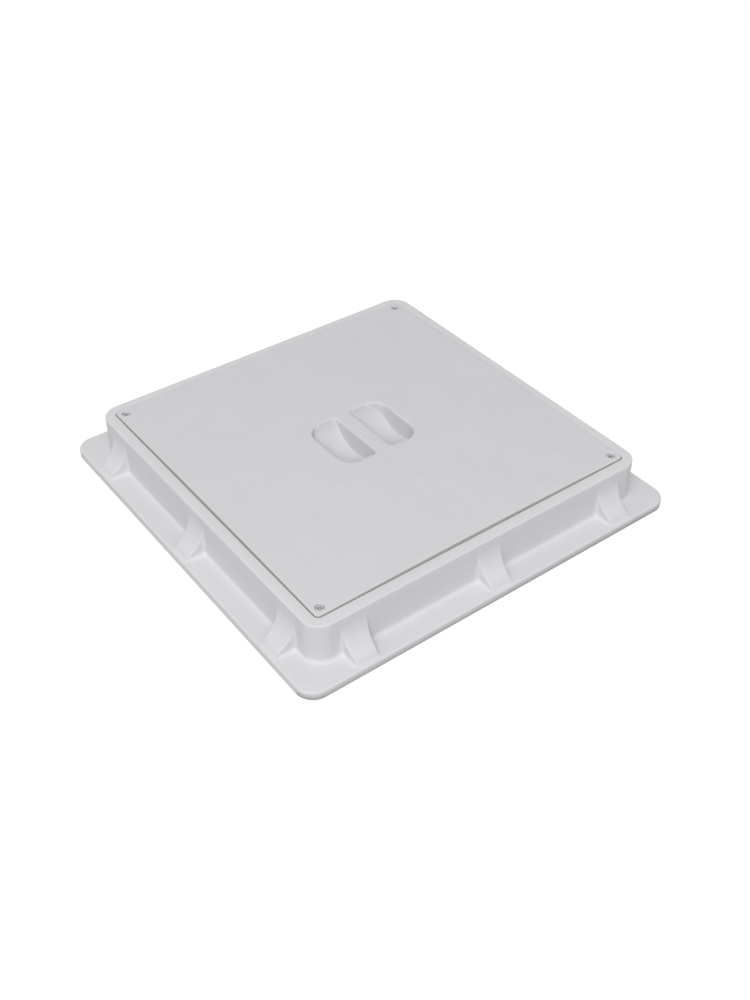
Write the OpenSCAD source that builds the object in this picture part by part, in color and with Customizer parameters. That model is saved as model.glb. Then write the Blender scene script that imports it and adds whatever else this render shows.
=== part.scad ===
// Square access hatch: a moulded frame with a ground flange and gussets, and a
// crowned lid with a honeycomb tread and a two-pocket hand grip. The lid rests on a
// rubber seal and is held by four screws in threaded inserts.
// Millimetres, +Z up, origin on the ground under the middle of the hatch.

/* [Rim] */
// Outer side of the upright rim
rim_side = 500; // [360:5:900]
// Height of the rim's top above the ground
frame_h = 68; // [60:1:120]
// Width of the rim's flat top
rim_w = 15; // [12:0.5:25]
// Outer corner radius of the rim
rim_r = 25; // [16:1:40]
// Rounding along the rim's outer top edge
rim_round = 3; // [0.5:0.5:6]
// Fillet at the foot of the rim
foot_round = 3; // [0.5:0.5:6]
// Thickness of the outer wall below the lid's ledge
wall_t = 8; // [5:0.5:11]

/* [Flange] */
// Reach of the ground flange past the rim
flange_reach = 31; // [29:1:80]
// Thickness of the flange
flange_t = 11; // [6:0.5:16]
// Corner radius of the flange
flange_r = 24; // [10:1:60]
// Rounding along the flange's top edge
flange_round = 2.5; // [0.5:0.5:5]

/* [Gussets] */
// Gussets on each side
gusset_count = 3; // [2:1:6]
// Width of a gusset's sloping face
gusset_w = 29.5; // [10:0.5:50]
// How much further each flank stands out at the wall
gusset_flare = 2.5; // [0:0.25:6]
// Radius of the hollow sloping face
gusset_r = 44; // [42:1:80]
// Distance from the rim's top down to the start of the slope
gusset_drop = 11.5; // [5:0.5:25]
// Reach of a gusset out from the rim
gusset_reach = 27; // [18:0.5:28]
// Width of the blunt toe at the foot of the slope
gusset_toe = 3; // [1:0.5:6]
// Distance from the rim's corner to the middle of the first gusset
gusset_inset = 54; // [45:1:90]
// Thickness of the webs under the ledge, behind the gussets
web_t = 6; // [3:0.5:10]

/* [Ledge] */
// Drop from the rim's top to the ledge that carries the lid
ledge_drop = 34; // [30:0.5:40]
// Width of the ledge
ledge_w = 24; // [20:0.5:32]
// Thickness of the ledge
ledge_t = 12; // [8:0.5:16]
// Corner radius of the clear opening
opening_r = 24; // [20:1:40]
// Thickness of the skirt around the clear opening
skirt_t = 6; // [3:0.5:8]

/* [Seal] */
// Width of the rubber seal
seal_w = 8; // [4:0.5:9]
// Height of the rubber seal
seal_h = 4; // [3:0.5:6]
// Height of the seal above the ledge, which is also the height of the corner pads
seal_proud = 2; // [1:0.5:3]
// Distance from the clear opening to the seal
seal_inset = 2; // [1:0.5:4]

/* [Lid] */
// Gap between the lid and the rim
lid_gap = 0.8; // [0.5:0.1:3]
// Corner radius of the lid
lid_r = 6; // [3:0.5:12]
// Height of the lid's corners above the rim
lid_proud = 2; // [0:0.5:5]
// Rise of the lid's middle above its corners
lid_crown = 5; // [1:0.5:10]
// Thickness of the lid's plate at its corners
lid_t = 7; // [5:0.5:10]
// Thickness of the wall around the lid's edge
lid_wall = 8; // [4:0.5:10]
// Thickness of the wall that presses on the seal
press_wall = 6; // [3:0.5:7]
// Thickness of the ribs under the lid
rib_t = 5; // [3:0.5:8]
// Spacing of the ribs under the lid
rib_pitch = 54; // [40:1:100]
// Height of the ribs' lower edge above the lid's own
rib_lift = 4; // [0:0.5:8]

/* [Honeycomb] */
// Distance across the flats from cell to cell
hex_pitch = 57; // [30:1:90]
// Width of the raised lines
hex_line = 3; // [1.5:0.5:6]
// Height of the raised lines
hex_rise = 1; // [0.5:0.1:2]
// Plain border along the lid's edge
hex_border = 9; // [5:1:30]
// Plain border around the hand grip
grip_border = 5; // [3:0.5:15]

/* [Hand grip] */
// Width of the bar between the two finger pockets
bar_w = 23; // [16:0.5:40]
// Width of a finger pocket, across the bar
pocket_w = 46; // [34:1:60]
// Length of a finger pocket, along the bar
pocket_l = 96; // [80:1:120]
// Depth of a finger pocket below the lid's middle
pocket_depth = 32; // [20:0.5:32]
// Radius of the rounded floor of a pocket
pocket_scoop = 50; // [40:1:70]
// Corner radius of a pocket on the side away from the bar
pocket_r = 22; // [6:1:28]
// Corner radius of a pocket beside the bar
bar_r = 8; // [3:0.5:12]
// Thickness of the walls around a pocket
pocket_wall = 5; // [3:0.5:6]

/* [Screws] */
// Distance from the rim's outer side to the screws
screw_inset = 27; // [26:0.5:34]
// Thread diameter
screw_d = 6; // [5:0.5:8]
// Length of a screw under its head
screw_l = 35; // [30:1:36]
// Diameter of a screw's head
head_d = 10; // [8:0.5:12]
// Height of a screw's head
head_h = 6; // [3:0.5:6]
// Width across the flats of the key socket
key_w = 5; // [3:0.5:6]
// Depth of the key socket
key_depth = 3; // [1:0.5:4]
// Depth of the recess for a screw's head
recess_depth = 8; // [6:0.5:9]
// Clearance around a head in its recess
head_gap = 0.6; // [0.3:0.1:1]
// Clearance around a screw in the lid
shank_gap = 0.3; // [0.1:0.1:0.6]
// Diameter of a threaded insert
insert_d = 9; // [8:0.5:12]
// Length of a threaded insert
insert_l = 12; // [9:0.5:13]
// Clearance between the thread and the insert
thread_gap = 0.05; // [0.01:0.01:0.1]
// Width of material around a screw in the lid's boss
boss_wall = 7; // [4:0.5:8]

/* [Hidden] */
$fn = 96;

moulded = [0.81, 0.815, 0.825];
rubber = [0.13, 0.13, 0.14];
steel = [0.72, 0.73, 0.74];
brass = [0.78, 0.63, 0.32];

// How far one shape reaches into another that it is joined to
bite = 1;
// Number of straight steps from the middle of the crown to its corners
crown_steps = 6;

flange_side = rim_side + 2 * flange_reach;
seat_side = rim_side - 2 * rim_w;
opening_side = seat_side - 2 * ledge_w;
ledge_z = frame_h - ledge_drop;
pad_z = ledge_z + seal_proud;
under_ledge_z = ledge_z - ledge_t;

seal_in_side = opening_side + 2 * seal_inset;
seal_out_side = seal_in_side + 2 * seal_w;
seal_in_r = opening_r + seal_inset;
seal_z = pad_z - seal_h;
press_inset = (seal_w - press_wall) / 2;

lid_side = seat_side - 2 * lid_gap;
corner_reach = lid_side / sqrt(2);
crown_r = (pow(corner_reach, 2) + pow(lid_crown, 2)) / (2 * lid_crown);
lid_corner_z = frame_h + lid_proud;
plate_z = lid_corner_z - lid_t;
middle_z = lid_corner_z + lid_crown;
hex_row = hex_pitch * sqrt(3) / 2;

screw_at = rim_side / 2 - screw_inset;
recess_d = head_d + 2 * head_gap;
screw_reach = norm([screw_at, screw_at]);
head_seat_z = crown_z(screw_reach) - recess_depth;
boss_d = screw_d + 2 * boss_wall;
pad_d = boss_d;
places = [[-1, -1], [1, -1], [1, 1], [-1, 1]];

// Height of the crowned top at a distance from the lid's middle
function crown_z(reach) = middle_z - crown_r + sqrt(pow(crown_r, 2) - pow(reach, 2));

module rounded_square(side, r) {
    square([side, side - 2 * r], center = true);
    square([side - 2 * r, side], center = true);
    for (p = places) {
        translate(p * (side / 2 - r)) circle(r);
    }
}

module square_ring(out_side, out_r, width) {
    difference() {
        rounded_square(out_side, out_r);
        rounded_square(out_side - 2 * width, max(out_r - width, 0.5));
    }
}

// Sweeps a section, drawn as distance from the corners' centres and height, around a
// rounded square
module swept_edge(side, r) {
    for (quarter = [0:3]) {
        rotate(90 * quarter) {
            translate([side / 2 - r, 0, 0])
                rotate([90, 0, 0])
                    linear_extrude(side - 2 * r, center = true) children();
            translate([side / 2 - r, side / 2 - r, 0])
                rotate_extrude(angle = 90) children();
        }
    }
}

// A plate on the ground with its upper edge rounded
module rounded_slab(side, r, h, edge) {
    linear_extrude(h) square(side - 2 * r, center = true);
    swept_edge(side, r) {
        square([r - edge, h]);
        square([r, h - edge]);
        translate([r - edge, h - edge]) circle(edge);
    }
}

module foot_fillet() {
    swept_edge(rim_side, rim_r) {
        difference() {
            translate([rim_r - bite, flange_t - bite]) square(foot_round + bite);
            translate([rim_r, flange_t] + foot_round * [1, 1]) circle(foot_round);
        }
    }
}

module gusset_section() {
    top_z = frame_h - gusset_drop;
    toe_in = gusset_reach - gusset_toe;
    toe_z = top_z - sqrt(pow(gusset_r, 2) - pow(gusset_r - toe_in, 2));
    // The toe's line runs on past the hollow, which trims it
    past = [toe_in, toe_z] + 0.5 * [-gusset_toe, toe_z - flange_t];
    difference() {
        polygon([[-bite, flange_t - bite], [gusset_reach, flange_t - bite],
            [gusset_reach, flange_t], past, [past[0], top_z], [-bite, top_z]]);
        translate([gusset_r, top_z]) circle(gusset_r);
    }
}

module gusset() {
    intersection() {
        rotate([90, 0, 0])
            linear_extrude(gusset_w + 4 * gusset_flare, center = true) gusset_section();
        linear_extrude(frame_h)
            polygon([[0, -gusset_w / 2 - gusset_flare], [gusset_reach, -gusset_w / 2],
                [gusset_reach, gusset_w / 2], [0, gusset_w / 2 + gusset_flare],
                [-bite, gusset_w / 2 + gusset_flare], [-bite, -gusset_w / 2 - gusset_flare]]);
    }
}

// Places its children once for each gusset, at the rim's outer face
module at_gussets() {
    span = rim_side - 2 * gusset_inset;
    for (quarter = [0:3]) {
        rotate(90 * quarter) {
            for (i = [0:gusset_count - 1]) {
                translate([rim_side / 2, span * (i / (gusset_count - 1) - 0.5), 0]) children();
            }
        }
    }
}

module at_screws() {
    for (p = places) {
        translate(p * screw_at) children();
    }
}

// Hollow underside between the outer wall and the skirt around the opening
module underside_channel() {
    difference() {
        translate([0, 0, -bite])
            linear_extrude(under_ledge_z + bite)
                difference() {
                    rounded_square(rim_side - 2 * wall_t, rim_r - wall_t);
                    rounded_square(opening_side + 2 * skirt_t, opening_r + skirt_t);
                }
        at_gussets()
            translate([-rim_w - ledge_w, -web_t / 2, -bite])
                cube([rim_w + ledge_w, web_t, under_ledge_z + 2 * bite]);
    }
}

module frame() {
    color(moulded) difference() {
        union() {
            difference() {
                union() {
                    rounded_slab(flange_side, flange_r, flange_t, flange_round);
                    rounded_slab(rim_side, rim_r, frame_h, rim_round);
                    foot_fillet();
                    at_gussets() gusset();
                }
                translate([0, 0, ledge_z])
                    linear_extrude(frame_h) rounded_square(seat_side, lid_r + lid_gap);
            }
            at_screws() translate([0, 0, ledge_z - bite]) cylinder(d = pad_d, h = seal_proud + bite);
        }
        translate([0, 0, -bite])
            linear_extrude(frame_h) rounded_square(opening_side, opening_r);
        translate([0, 0, seal_z])
            linear_extrude(frame_h) square_ring(seal_out_side, seal_in_r + seal_w, seal_w);
        underside_channel();
        at_screws() translate([0, 0, pad_z - insert_l]) cylinder(d = insert_d, h = frame_h);
        at_screws() translate([0, 0, -bite]) cylinder(d = screw_d + 2 * shank_gap, h = frame_h);
    }
}

module seal() {
    color(rubber)
        translate([0, 0, seal_z])
            linear_extrude(seal_h) square_ring(seal_out_side, seal_in_r + seal_w, seal_w);
}

// The crowned top as a turned solid, raised by the height of the tread where asked
module crown(raised) {
    reach = corner_reach + bite;
    rotate_extrude()
        polygon([[0, plate_z], [reach, plate_z],
            for (i = [crown_steps:-1:0]) [reach * i / crown_steps,
                crown_z(reach * i / crown_steps) + raised]]);
}

// Outline of one pocket on the +X side of the bar, grown by the thickness asked
module pocket_outline(grown) {
    near = bar_w / 2;
    far = near + pocket_w;
    half = pocket_l / 2;
    for (end = [-1, 1]) {
        translate([near + bar_r, end * (half - bar_r)]) circle(bar_r + grown);
        translate([far - pocket_r, end * (half - pocket_r)]) circle(pocket_r + grown);
    }
    translate([near + bar_r, -half - grown])
        square([pocket_w - bar_r - pocket_r, pocket_l + 2 * grown]);
    translate([near - grown, -half + bar_r])
        square([pocket_w - pocket_r + grown, pocket_l - 2 * bar_r]);
    translate([near - grown, -half + pocket_r])
        square([pocket_w + 2 * grown, pocket_l - 2 * pocket_r]);
}

// A half-moon pocket, or the solid around it when grown
module pocket(grown, top_z) {
    floor_z = middle_z - pocket_depth;
    intersection() {
        translate([0, 0, floor_z - grown])
            linear_extrude(top_z - floor_z + grown) pocket_outline(grown);
        translate([0, 0, floor_z + pocket_scoop])
            rotate([0, 90, 0]) cylinder(r = pocket_scoop + grown, h = 2 * (bar_w + pocket_w));
    }
}

module both_sides() {
    children();
    mirror([1, 0, 0]) children();
}

module honeycomb() {
    columns = ceil(lid_side / hex_pitch / 2);
    rows = ceil(lid_side / hex_row / 2);
    difference() {
        square(lid_side - 2 * hex_border, center = true);
        for (j = [-rows:rows]) {
            for (i = [-columns - 1:columns]) {
                translate([(i + (j % 2 == 0 ? 0.5 : 0)) * hex_pitch, j * hex_row])
                    rotate(30) circle((hex_pitch - hex_line) / sqrt(3), $fn = 6);
            }
        }
        both_sides() pocket_outline(grip_border);
        square([bar_w + 2 * bar_r, pocket_l + 2 * grip_border], center = true);
        at_screws() circle(d = recess_d + 2 * hex_line);
    }
}

module ribs() {
    count = floor((seal_in_side / 2 - lid_wall) / rib_pitch);
    low_z = pad_z + rib_lift;
    for (turn = [0, 90]) {
        rotate(turn) {
            for (i = [-count:count]) {
                translate([i * rib_pitch - rib_t / 2, -seal_in_side / 2 - press_inset, low_z])
                    cube([rib_t, seal_in_side + 2 * press_inset, plate_z - low_z + bite]);
            }
        }
    }
}

module lid() {
    wall_h = plate_z - pad_z + bite;
    color(moulded) difference() {
        union() {
            intersection() {
                linear_extrude(2 * frame_h) rounded_square(lid_side, lid_r);
                crown(0);
            }
            intersection() {
                linear_extrude(2 * frame_h) honeycomb();
                crown(hex_rise);
            }
            translate([0, 0, pad_z]) {
                linear_extrude(wall_h) square_ring(lid_side, lid_r, lid_wall);
                linear_extrude(wall_h)
                    square_ring(seal_out_side - 2 * press_inset,
                        seal_in_r + seal_w - press_inset, press_wall);
                at_screws() cylinder(d = boss_d, h = wall_h);
            }
            ribs();
            both_sides() pocket(pocket_wall, plate_z + bite);
        }
        both_sides() pocket(0, 2 * frame_h);
        at_screws() {
            translate([0, 0, head_seat_z]) cylinder(d = recess_d, h = frame_h);
            cylinder(d = screw_d + 2 * shank_gap, h = 2 * frame_h);
        }
    }
}

module screw(i) {
    color(steel)
        translate(places[i - 1] * screw_at)
            translate([0, 0, head_seat_z])
                difference() {
                    union() {
                        cylinder(d = head_d, h = head_h);
                        translate([0, 0, -screw_l]) cylinder(d = screw_d, h = screw_l + bite);
                    }
                    translate([0, 0, head_h - key_depth])
                        cylinder(r = key_w / sqrt(3), h = head_h, $fn = 6);
                }
}

module insert(i) {
    color(brass)
        translate(places[i - 1] * screw_at)
            translate([0, 0, pad_z - insert_l])
                difference() {
                    cylinder(d = insert_d, h = insert_l);
                    translate([0, 0, -bite])
                        cylinder(d = screw_d + 2 * thread_gap, h = insert_l + 2 * bite);
                }
}

frame();
lid();
seal();
screw(1);  // screw_1
screw(2);  // screw_2
screw(3);  // screw_3
screw(4);  // screw_4
insert(1);  // insert_1
insert(2);  // insert_2
insert(3);  // insert_3
insert(4);  // insert_4
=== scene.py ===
# %% [markdown]
# # A moulded access hatch
#
# This hatch closes a chamber in the ground. Its frame beds on a flange, its lid drops into
# the frame and rests on a rubber seal, and four screws hold it down. The frame and the lid
# are each one moulding in a pale grey composite. Their sizes come from a CAD model, which
# is loaded first and never moved. What this script adds is what a CAD solid leaves out:
# the rounded edges, the soft relief of the tread, the threads and the finish.

# %% Load the CAD model
import math

import bmesh
import bpy
from bmesh.types import BMEdge, BMFace, BMVert
from mathutils import Matrix, Vector
from mathutils.geometry import interpolate_bezier


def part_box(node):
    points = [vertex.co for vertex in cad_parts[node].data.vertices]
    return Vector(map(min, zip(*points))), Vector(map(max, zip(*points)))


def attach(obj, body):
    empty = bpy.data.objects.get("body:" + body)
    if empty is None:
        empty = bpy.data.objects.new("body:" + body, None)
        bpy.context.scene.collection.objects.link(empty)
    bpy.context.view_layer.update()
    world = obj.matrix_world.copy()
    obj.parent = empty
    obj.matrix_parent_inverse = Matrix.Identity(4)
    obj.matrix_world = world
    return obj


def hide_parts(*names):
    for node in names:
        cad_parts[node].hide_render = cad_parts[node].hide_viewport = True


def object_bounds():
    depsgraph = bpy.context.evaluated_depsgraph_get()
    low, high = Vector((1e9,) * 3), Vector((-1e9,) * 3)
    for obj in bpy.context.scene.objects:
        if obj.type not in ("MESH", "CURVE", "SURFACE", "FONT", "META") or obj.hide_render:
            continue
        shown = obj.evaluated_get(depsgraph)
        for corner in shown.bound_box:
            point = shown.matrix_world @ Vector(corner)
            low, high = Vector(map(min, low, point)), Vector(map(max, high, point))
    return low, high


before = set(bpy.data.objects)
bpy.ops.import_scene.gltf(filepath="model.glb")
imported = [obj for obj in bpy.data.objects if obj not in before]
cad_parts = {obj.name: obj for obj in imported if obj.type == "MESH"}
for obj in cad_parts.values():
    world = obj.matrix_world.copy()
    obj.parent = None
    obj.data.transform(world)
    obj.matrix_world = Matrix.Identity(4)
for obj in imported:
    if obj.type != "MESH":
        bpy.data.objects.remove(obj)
cad_bounds = [list(corner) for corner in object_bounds()]
MM = 0.001
print("CAD nodes:", ", ".join(sorted(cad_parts)))
print("CAD box in mm:", [[round(c / MM, 1) for c in corner] for corner in cad_bounds])

# %% [markdown]
# ## The camera
#
# The picture is taken from above the hatch's front corner. Place and aim are given in
# metres, and the lens in millimetres on a sensor whose long side is 36 mm. A camera in
# Blender looks along its own -Z axis, so `to_track_quat` turns that axis to the aim.

# %% Place the camera
CAMERA_AT = Vector((-0.7231, -0.9916, 0.9952))
CAMERA_AIM = Vector((-0.0167, -0.0482, 0.0))
CAMERA_LENS = 42.87

camera_data = bpy.data.cameras.new("camera")
camera_data.lens = CAMERA_LENS
camera = bpy.data.objects.new("camera", camera_data)
camera.location = CAMERA_AT
camera.rotation_euler = (CAMERA_AIM - CAMERA_AT).to_track_quat("-Z", "Y").to_euler()
bpy.context.scene.collection.objects.link(camera)
bpy.context.scene.camera = camera
print("camera distance in mm:", round((CAMERA_AIM - CAMERA_AT).length / MM))

# %% [markdown]
# ## A white studio
#
# Product pictures like this one are lit by even light from all around and one wide lamp
# beside the camera. The world gives the even light. The lamp stands in line with the front
# corner, so both walls that face the camera get the same share, and the flange throws
# some of it back at their feet. The picture's ground is white because camera rays see a
# brighter floor than light does, not because the lamp is turned up.

# %% Helpers for nodes and meshes
def feed(links, socket, value):
    """Links a socket to another one, or sets it to a number or an RGB colour."""
    if isinstance(value, bpy.types.NodeSocket):
        links.new(value, socket)
    elif isinstance(value, tuple):
        socket.default_value = (*value, 1.0)
    else:
        socket.default_value = value


def math_node(nodes, links, operation, *values):
    """The result of a Math node, which is fed by sockets or plain numbers."""
    node = nodes.new("ShaderNodeMath")
    node.operation = operation
    for socket, value in zip(node.inputs, values):
        feed(links, socket, value)
    return node.outputs[0]


def to_mesh(bm, name):
    """Writes a bmesh to a new mesh and frees it."""
    mesh = bpy.data.meshes.new(name)
    bm.to_mesh(mesh)
    bm.free()
    return mesh


# %% Light and floor
WORLD_STRENGTH = 0.51
LAMP_AT = Vector((-2.75, -2.8, 4.55))
LAMP_SIZE = 4.6
LAMP_POWER = 235.0
WHITE = (1.0, 1.0, 1.0)
FLOOR_SIZE = 30.0
FLOOR_GAP = 0.2 * MM
FLOOR_COLOR = (0.5, 0.5, 0.5)
FLOOR_GLOW = 0.86
FLOOR_SHADE = (0.2, 0.2, 0.2)


def show_apart(nodes, links, lighting, shown, output_type):
    """Direct rays see one shader, while the other one gives the light.

    Direct rays come from the camera, off a gloss or through glass.
    """
    rays = nodes.new("ShaderNodeLightPath").outputs
    direct = math_node(nodes, links, "MAXIMUM", rays["Is Camera Ray"], rays["Is Glossy Ray"])
    direct = math_node(nodes, links, "MAXIMUM", direct, rays["Is Transmission Ray"])
    mix = nodes.new("ShaderNodeMixShader")
    links.new(direct, mix.inputs["Fac"])
    links.new(lighting.outputs[0], mix.inputs[1])
    links.new(shown.outputs[0], mix.inputs[2])
    output = nodes.new(output_type)
    links.new(mix.outputs[0], output.inputs["Surface"])


def white_world():
    world = bpy.data.worlds.new("white_sweep")
    world.use_nodes = True
    nodes, links = world.node_tree.nodes, world.node_tree.links
    nodes.clear()
    lighting = nodes.new("ShaderNodeBackground")
    feed(links, lighting.inputs["Color"], WHITE)
    feed(links, lighting.inputs["Strength"], WORLD_STRENGTH)
    shown = nodes.new("ShaderNodeBackground")
    feed(links, shown.inputs["Color"], WHITE)
    feed(links, shown.inputs["Strength"], 1.0)
    show_apart(nodes, links, lighting, shown, "ShaderNodeOutputWorld")
    return world


def white_floor():
    material = bpy.data.materials.new("white_floor")
    material.use_nodes = True
    nodes, links = material.node_tree.nodes, material.node_tree.links
    nodes.clear()
    matt = nodes.new("ShaderNodeBsdfDiffuse")
    feed(links, matt.inputs["Color"], FLOOR_COLOR)
    shade = nodes.new("ShaderNodeBsdfDiffuse")
    feed(links, shade.inputs["Color"], FLOOR_SHADE)
    glow = nodes.new("ShaderNodeEmission")
    feed(links, glow.inputs["Strength"], FLOOR_GLOW)
    both = nodes.new("ShaderNodeAddShader")
    links.new(shade.outputs[0], both.inputs[0])
    links.new(glow.outputs[0], both.inputs[1])
    show_apart(nodes, links, matt, both, "ShaderNodeOutputMaterial")
    bm = bmesh.new()
    bmesh.ops.create_grid(bm, x_segments=1, y_segments=1, size=FLOOR_SIZE / 2)
    floor = bpy.data.objects.new("floor", to_mesh(bm, "floor"))
    floor.data.materials.append(material)
    floor.location.z = cad_bounds[0][2] - FLOOR_GAP
    bpy.context.scene.collection.objects.link(floor)


def soft_lamp(name, place, aim, size, power):
    data = bpy.data.lights.new(name, "AREA")
    data.shape = "DISK"
    data.size = size
    data.energy = power
    lamp = bpy.data.objects.new(name, data)
    lamp.location = place
    lamp.rotation_euler = (Vector(aim) - Vector(place)).to_track_quat("-Z", "Y").to_euler()
    bpy.context.scene.collection.objects.link(lamp)
    return lamp


bpy.context.scene.world = white_world()
white_floor()
soft_lamp("beside_camera", LAMP_AT, (0, 0, 0), LAMP_SIZE, LAMP_POWER)
bpy.context.scene.view_settings.view_transform = "Standard"

# %% [markdown]
# ## Finishes
#
# The composite is glass fibre in a filled resin, pressed in a steel mould. Up close it has
# a fine leathery grain from the mould's etched face, and slow clouds in its colour where
# the resin flowed. Both come from noise on Object coordinates, so the pattern stays put on
# the piece. The grain is a bump a few hundredths of a millimetre deep. The narrow joint
# between lid and frame gets painted shade, which stands for the shadow in it. A mask
# darkens the colour there: it is the distance to a rounded square, worked out with a few
# vector nodes.


# %% Helpers that build a finish
NOISE_LOW = 0.3
NOISE_HIGH = 0.7


def new_finish(name, color, roughness, metallic=0.0):
    """A material with a Principled shader, and what is needed to add to it."""
    material = bpy.data.materials.new(name)
    material.use_nodes = True
    nodes, links = material.node_tree.nodes, material.node_tree.links
    shader = nodes["Principled BSDF"]
    feed(links, shader.inputs["Base Color"], color)
    feed(links, shader.inputs["Roughness"], roughness)
    feed(links, shader.inputs["Metallic"], metallic)
    place = nodes.new("ShaderNodeTexCoord")
    return material, nodes, links, shader, place.outputs["Object"]


def noise(nodes, links, vector, cell, detail=2.0, roughness=0.5):
    """Noise whose features are about one cell wide, in metres."""
    texture = nodes.new("ShaderNodeTexNoise")
    feed(links, texture.inputs["Vector"], vector)
    feed(links, texture.inputs["Scale"], 1.0 / cell)
    feed(links, texture.inputs["Detail"], detail)
    feed(links, texture.inputs["Roughness"], roughness)
    return texture.outputs["Fac"]


def spread(nodes, links, value, low=0.0, high=1.0):
    """Turns noise, which stays mostly in its middle, into a range."""
    ranged = nodes.new("ShaderNodeMapRange")
    feed(links, ranged.inputs["Value"], value)
    feed(links, ranged.inputs["From Min"], NOISE_LOW)
    feed(links, ranged.inputs["From Max"], NOISE_HIGH)
    feed(links, ranged.inputs["To Min"], low)
    feed(links, ranged.inputs["To Max"], high)
    return ranged.outputs["Result"]


def blend(nodes, links, share, first, second):
    """Goes from one colour to another as share rises. Each is a tuple or a socket."""
    mix = nodes.new("ShaderNodeMix")
    mix.data_type = "RGBA"
    feed(links, mix.inputs["A"], first)
    feed(links, mix.inputs["B"], second)
    feed(links, mix.inputs["Factor"], share)
    return mix.outputs["Result"]


def shaded(color, share):
    return tuple(c * share for c in color)


def clouded(nodes, links, place, color, cell, detail, shades):
    """A colour that drifts between two shades of itself."""
    drift = spread(nodes, links, noise(nodes, links, place, cell, detail))
    return blend(nodes, links, drift, *(shaded(color, share) for share in shades))


def emboss(nodes, links, shader, heights):
    """Bumps from (height, depth in metres) pairs, laid one over the other."""
    normal = None
    for height, depth in heights:
        bump = nodes.new("ShaderNodeBump")
        feed(links, bump.inputs["Strength"], 1.0)
        feed(links, bump.inputs["Distance"], depth)
        feed(links, bump.inputs["Height"], height)
        if normal:
            feed(links, bump.inputs["Normal"], normal)
        normal = bump.outputs["Normal"]
    links.new(normal, shader.inputs["Normal"])


# %% The composite
FRAME_GREY = (0.672, 0.672, 0.688)
LID_GREY = (0.636, 0.636, 0.651)
CLOUD_CELL = 60 * MM
CLOUD_SHADES = (0.988, 1.012)
COMPOSITE_ROUGH = (0.58, 0.72)
COMPOSITE_SHINE = 0.25
PEEL_CELL = 7 * MM
PEEL_DEPTH = 0.02 * MM
GRAIN_CELL = 0.9 * MM
GRAIN_DEPTH = 0.012 * MM
# Painted shade in the joint between lid and frame: its colour, its reach and its full core.
PAINTED_JOINT_SHADE = (0.43, 0.43, 0.43)
JOINT_SHADE_REACH = 1.2 * MM
JOINT_SHADE_CORE = JOINT_SHADE_REACH / 3
JOINT_AT = 234.6 * MM
JOINT_CORNER = 6.4 * MM


def painted_joint_shade(nodes, links, place):
    """1 in the joint between lid and frame, where painted shade stands for its shadow, and 0
    elsewhere.
    """
    centre = JOINT_AT - JOINT_CORNER
    steps = (
        ("ABSOLUTE", None),
        ("SUBTRACT", (centre, centre, 0.0)),
        ("MAXIMUM", (0.0, 0.0, 0.0)),
        ("MULTIPLY", (1.0, 1.0, 0.0)),
        ("LENGTH", None),
    )
    for operation, by in steps:
        step = nodes.new("ShaderNodeVectorMath")
        step.operation = operation
        links.new(place, step.inputs[0])
        if by:
            step.inputs[1].default_value = by
        place = step.outputs["Value" if operation == "LENGTH" else "Vector"]
    beyond = math_node(nodes, links, "SUBTRACT", place, JOINT_CORNER)
    near = nodes.new("ShaderNodeMapRange")
    near.interpolation_type = "SMOOTHSTEP"
    feed(links, near.inputs["Value"], math_node(nodes, links, "ABSOLUTE", beyond))
    feed(links, near.inputs["From Min"], JOINT_SHADE_REACH)
    feed(links, near.inputs["From Max"], JOINT_SHADE_CORE)
    return near.outputs["Result"]


def composite_finish(name, grey):
    middle = sum(COMPOSITE_ROUGH) / 2
    material, nodes, links, shader, place = new_finish(name, grey, middle)
    feed(links, shader.inputs["Specular IOR Level"], COMPOSITE_SHINE)
    unshaded = clouded(nodes, links, place, grey, CLOUD_CELL, 3.0, CLOUD_SHADES)
    # Painted shade darkens the colour in the joint between lid and frame, standing for its
    # shadow.
    dust_and_shade = blend(nodes, links, painted_joint_shade(nodes, links, place), unshaded, PAINTED_JOINT_SHADE)
    feed(links, shader.inputs["Base Color"], dust_and_shade)
    peel = noise(nodes, links, place, PEEL_CELL)
    feed(links, shader.inputs["Roughness"], spread(nodes, links, peel, *COMPOSITE_ROUGH))
    grain = noise(nodes, links, place, GRAIN_CELL, detail=3.0, roughness=0.6)
    emboss(nodes, links, shader, [(peel, PEEL_DEPTH), (grain, GRAIN_DEPTH)])
    return material


frame_composite = composite_finish("frame_composite", FRAME_GREY)
lid_composite = composite_finish("lid_composite", LID_GREY)
print("composite nodes:", len(lid_composite.node_tree.nodes))

# %% Rubber, steel and brass
RUBBER = (0.022, 0.022, 0.024)
RUBBER_ROUGH = 0.7
DUST_CELL = 5 * MM
DUST_SHADES = (0.8, 1.9)
SKIN_CELL = 0.3 * MM
SKIN_DEPTH = 0.01 * MM
STEEL = (0.55, 0.55, 0.56)
STEEL_ROUGH = 0.55
BRASS = (0.62, 0.45, 0.19)
BRASS_ROUGH = 0.35
BLOTCH_CELL = 4 * MM
BLOTCH_SHADES = (0.88, 1.05)
RING_STRETCH = (0.2, 0.2, 3.0)
RING_CELL = 0.6 * MM
RING_DEPTH = 0.01 * MM


def rubber_finish():
    material, nodes, links, shader, place = new_finish("rubber", RUBBER, RUBBER_ROUGH)
    dust_and_shade = clouded(nodes, links, place, RUBBER, DUST_CELL, 4.0, DUST_SHADES)
    feed(links, shader.inputs["Base Color"], dust_and_shade)
    emboss(nodes, links, shader, [(noise(nodes, links, place, SKIN_CELL), SKIN_DEPTH)])
    return material


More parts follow.
